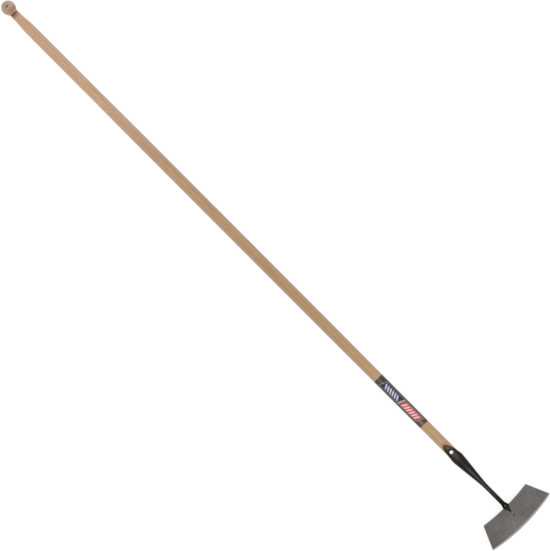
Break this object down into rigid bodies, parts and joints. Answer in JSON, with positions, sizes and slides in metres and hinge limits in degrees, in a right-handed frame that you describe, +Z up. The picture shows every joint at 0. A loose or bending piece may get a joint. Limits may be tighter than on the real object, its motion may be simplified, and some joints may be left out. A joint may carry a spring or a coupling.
{
  "type": "dutch hoe",
  "caption": "Push hoe: long turned ash handle with a ball end, forged socket and neck, and a flat blade ground along its curved front edge.",
  "frame": {"origin": "on the ground under the middle of the tool, which lies on the ball end of its handle and on the middle of its blade's front edge", "axes": "+X from the ball end of the handle to the blade, +Y across the blade, +Z up, the side of the blade that the neck lies on"},
  "size_m": [1.7906, 0.1932, 0.0663],
  "materials": {
    "ash_wood": "planed and lightly waxed ash, satin",
    "black_paint": "black lacquer over forged steel, semi-gloss",
    "blade_steel": "grey tempered steel, satin, with a bright ground bevel",
    "zinc": "bright zinc plate",
    "label_film": "thin glossy film, dark grey, with a navy and a red field of pale bars on top"
  },
  "bodies": {
    "root": {"handle": "ash_wood", "socket_neck": "black_paint", "blade": "blade_steel", "blade_rivet": "black_paint", "socket_nail": "zinc", "label_sleeve": "label_film"}
  },
  "joints": []
}
